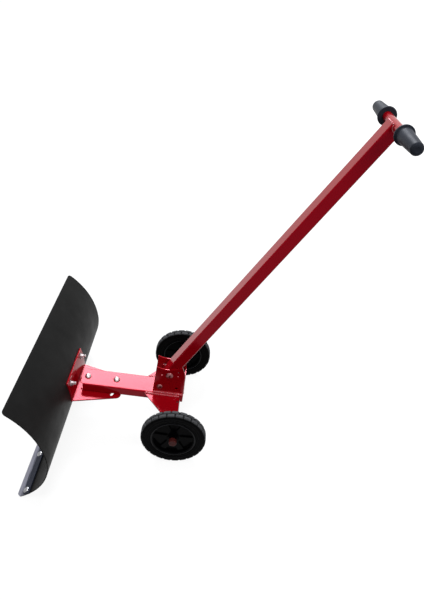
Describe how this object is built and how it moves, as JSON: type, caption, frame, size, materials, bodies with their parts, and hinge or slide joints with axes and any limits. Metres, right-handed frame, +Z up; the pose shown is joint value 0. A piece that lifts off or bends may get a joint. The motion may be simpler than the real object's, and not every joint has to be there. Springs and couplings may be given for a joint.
{
  "type": "wheeled snow pusher",
  "caption": "Manual snow pusher: a curved steel blade on a short wheeled boom that can be angled left or right, pushed by a folding rectangular-tube handle with a T-bar.",
  "frame": {"origin": "on the ground, midway between the cutting edge and the rearmost point of the grips, on the plane of symmetry", "axes": "+X from the blade to the handle, +Y to the machine's left, +Z up"},
  "size_m": [1.0598, 0.697, 1.0029],
  "materials": {
    "red_paint": "gloss powder coat",
    "blade_paint": "satin powder coat",
    "zinc": "zinc plated",
    "worn_steel": "worn by the ground",
    "tyre_rubber": "matt",
    "rim_plastic": "satin",
    "cap_plastic": "satin",
    "grip_rubber": "satin",
    "nylon": "satin"
  },
  "bodies": {
    "chassis": {"boom": "red_paint", "carrier_wing_left": "red_paint", "carrier_wing_right": "red_paint", "axle": "zinc", "axle_spacers": "red_paint", "inner_hub_washers": "zinc", "outer_hub_washers": "rim_plastic", "axle_cap_left": "cap_plastic", "axle_cap_right": "cap_plastic", "yaw_pivot_bolt": "zinc", "yaw_pivot_washer": "zinc", "yaw_pivot_nut": "zinc", "yaw_lock_bolt": "zinc", "yaw_lock_washer": "zinc", "yaw_lock_nut": "zinc", "handle_bracket": "red_paint", "handle_pivot_bolt": "zinc", "handle_pivot_washer": "zinc", "handle_pivot_nut": "zinc", "handle_lock_bolt": "zinc", "handle_lock_washer": "zinc", "handle_lock_nut": "zinc", "pivot_spacers": "nylon"},
    "blade": {"blade_sheet": "blade_paint", "cutting_edge": "worn_steel", "cutting_edge_bolts": "zinc", "cutting_edge_nuts": "zinc", "blade_bracket": "red_paint", "mount_bolts": "zinc", "mount_washers": "zinc", "mount_nuts": "zinc"},
    "handle": {"handle_tube": "red_paint", "pivot_sleeve": "red_paint", "crossbar": "red_paint", "grip_left": "grip_rubber", "grip_right": "grip_rubber"},
    "wheel_left": {"tyre_left": "tyre_rubber", "rim_left": "rim_plastic", "hub_bush_left": "nylon"},
    "wheel_right": {"tyre_right": "tyre_rubber", "rim_right": "rim_plastic", "hub_bush_right": "nylon"}
  },
  "joints": [
    {"name": "blade_yaw", "type": "hinge", "parent": "chassis", "child": "blade", "pos_m": [-0.37285, 0, 0.14981], "axis": [0.1633, 0, 0.9866], "range_deg": [-26, 26]},
    {"name": "handle_tilt", "type": "hinge", "parent": "chassis", "child": "handle", "pos_m": [-0.09374, 0, 0.19484], "axis": [0, -1, 0], "range_deg": [0, 56]},
    {"name": "wheel_left_spin", "type": "hinge", "parent": "chassis", "child": "wheel_left", "pos_m": [-0.07194, 0.199, 0.1], "axis": [0, 1, 0], "continuous": true},
    {"name": "wheel_right_spin", "type": "hinge", "parent": "chassis", "child": "wheel_right", "pos_m": [-0.07194, -0.199, 0.1], "axis": [0, 1, 0], "continuous": true}
  ]
}
